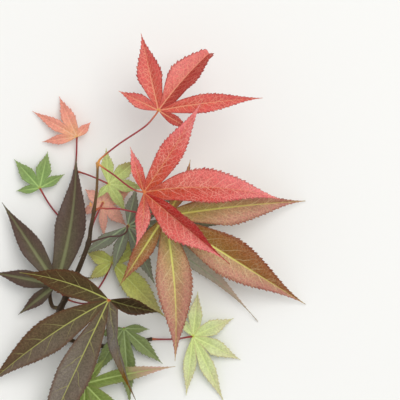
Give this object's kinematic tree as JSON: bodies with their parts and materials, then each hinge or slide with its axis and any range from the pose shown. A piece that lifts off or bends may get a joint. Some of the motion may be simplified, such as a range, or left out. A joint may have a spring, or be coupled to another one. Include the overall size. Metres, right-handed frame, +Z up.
{
  "type": "cut japanese maple twig",
  "caption": "Leafy cut twig of a purple-leaved Japanese maple, lying down: a thin dark stem with red, bronze and green palmate leaves on slender stalks.",
  "frame": {"origin": "on the surface that the twig lies on, under the middle of its box", "axes": "+Z up from that surface, +Y from the cut end of the stem towards its tip, which is the longest way across the twig, and +X to the right as seen from above"},
  "size_m": [0.161, 0.2164, 0.0513],
  "materials": {
    "bark": "dark brown bark with a dull gloss",
    "young_bark": "brown first-year bark",
    "bud": "pale orange bud scales",
    "stalk": "smooth dark red leaf stalk",
    "shaded_stalk": "smooth red-brown leaf stalk",
    "coral_leaf": "coral red blade with paler midribs, satin",
    "crimson_leaf": "crimson blade with a fine pink net of veins, satin",
    "bronze_leaf": "olive to red-brown blade with yellow-green midribs, satin",
    "purple_leaf": "dark purple-brown blade with yellow-green midribs, satin",
    "grey_leaf": "grey-green underside with pale ribs, matt",
    "umber_leaf": "grey-brown blade with a green midrib, satin",
    "outer_salmon_leaf": "small salmon red blade, matt",
    "inner_salmon_leaf": "small salmon red underside, matt",
    "lime_leaf": "light yellow-green blade, matt",
    "fern_leaf": "green blade with a reddish tip, matt",
    "olive_leaf": "olive green blade, matt",
    "moss_leaf": "mid-green blade, matt",
    "sage_leaf": "light green blade, matt",
    "jade_leaf": "green blade, matt"
  },
  "bodies": {
    "root": {"stem": "bark", "upper_shoot": "young_bark", "lower_shoot": "young_bark", "bud": "bud", "coral_stalk": "stalk", "coral_leaf": "coral_leaf", "crimson_stalk": "stalk", "crimson_leaf": "crimson_leaf", "bronze_stalk": "stalk", "bronze_leaf": "bronze_leaf", "purple_stalk": "stalk", "purple_leaf": "purple_leaf", "grey_stalk": "shaded_stalk", "grey_leaf": "grey_leaf", "umber_stalk": "stalk", "umber_leaf": "umber_leaf", "outer_salmon_stalk": "stalk", "outer_salmon_leaf": "outer_salmon_leaf", "inner_salmon_stalk": "stalk", "inner_salmon_leaf": "inner_salmon_leaf", "lime_stalk": "stalk", "lime_leaf": "lime_leaf", "fern_stalk": "stalk", "fern_leaf": "fern_leaf", "olive_stalk": "stalk", "olive_leaf": "olive_leaf", "moss_stalk": "stalk", "moss_leaf": "moss_leaf", "sage_stalk": "stalk", "sage_leaf": "sage_leaf", "jade_stalk": "stalk", "jade_leaf": "jade_leaf"}
  },
  "joints": []
}
